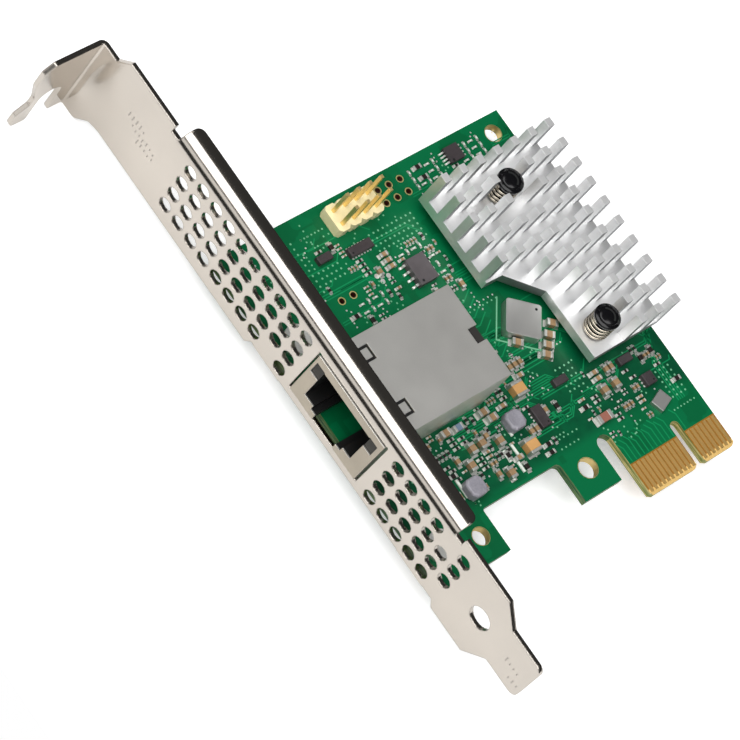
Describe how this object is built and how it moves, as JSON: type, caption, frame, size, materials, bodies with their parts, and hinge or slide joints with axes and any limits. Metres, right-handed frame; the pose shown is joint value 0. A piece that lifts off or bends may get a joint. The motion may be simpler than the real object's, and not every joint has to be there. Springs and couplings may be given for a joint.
{
  "type": "network interface card",
  "caption": "Plug-in network card: vented steel slot bracket with a shielded network jack, green circuit board with a gold edge connector, and a pin-fin heat sink held by sprung push pins.",
  "frame": {"origin": "on the component face of the circuit board, at the mating edge of the edge connector, on the centre line of its key slot", "axes": "+X runs along the edge connector away from the slot bracket, +Y from the edge connector towards the bracket's screw tab, +Z out of the component face"},
  "size_m": [0.0776, 0.1209, 0.0219],
  "materials": {
    "bracket_steel": "nickel-plated satin steel sheet",
    "board_green": "glossy green solder mask over glass laminate",
    "gold_plate": "gold-plated copper",
    "shield_metal": "satin plated sheet",
    "black_plastic": "moulded black plastic",
    "lamp_plastic": "smoky clear plastic",
    "potting_resin": "potted resin block",
    "tinned_metal": "bright tin",
    "sink_aluminium": "bright milled aluminium",
    "spring_steel": "dark spring wire",
    "pad_grey": "soft thermal pad",
    "chip_resin": "moulded chip resin",
    "header_cream": "cream moulded plastic",
    "inductor_grey": "pressed ferrite",
    "tantalum_tan": "tan moulded case",
    "ceramic_brown": "fired ceramic with tinned ends",
    "resistor_black": "glazed film with tinned ends",
    "ferrite_blue": "blue-grey ceramic",
    "fuse_red": "red-brown ceramic with tinned ends"
  },
  "bodies": {
    "root": {"bracket": "bracket_steel", "circuit_board": "board_green", "edge_contacts": "gold_plate", "jack_shield": "shield_metal", "jack_housing": "black_plastic", "jack_contacts": "gold_plate", "jack_magnetics": "potting_resin", "jack_light_pipes": "lamp_plastic", "jack_pins": "tinned_metal", "heat_sink": "sink_aluminium", "push_pins": "black_plastic", "push_pin_springs": "spring_steel", "controller_chip": "chip_resin", "thermal_pad": "pad_grey", "header_body": "header_cream", "header_pins": "gold_plate", "flash_chip": "chip_resin", "flash_chip_leads": "tinned_metal", "eeprom_chip": "chip_resin", "eeprom_chip_leads": "tinned_metal", "metal_can": "shield_metal", "bracket_screws": "tinned_metal", "inductors": "inductor_grey", "tantalum_capacitors": "tantalum_tan", "ceramic_capacitors": "ceramic_brown", "resistors": "resistor_black", "ferrite_beads": "ferrite_blue", "transistors": "chip_resin", "flat_chips": "chip_resin", "fuse": "fuse_red", "crystal": "shield_metal"}
  },
  "joints": []
}
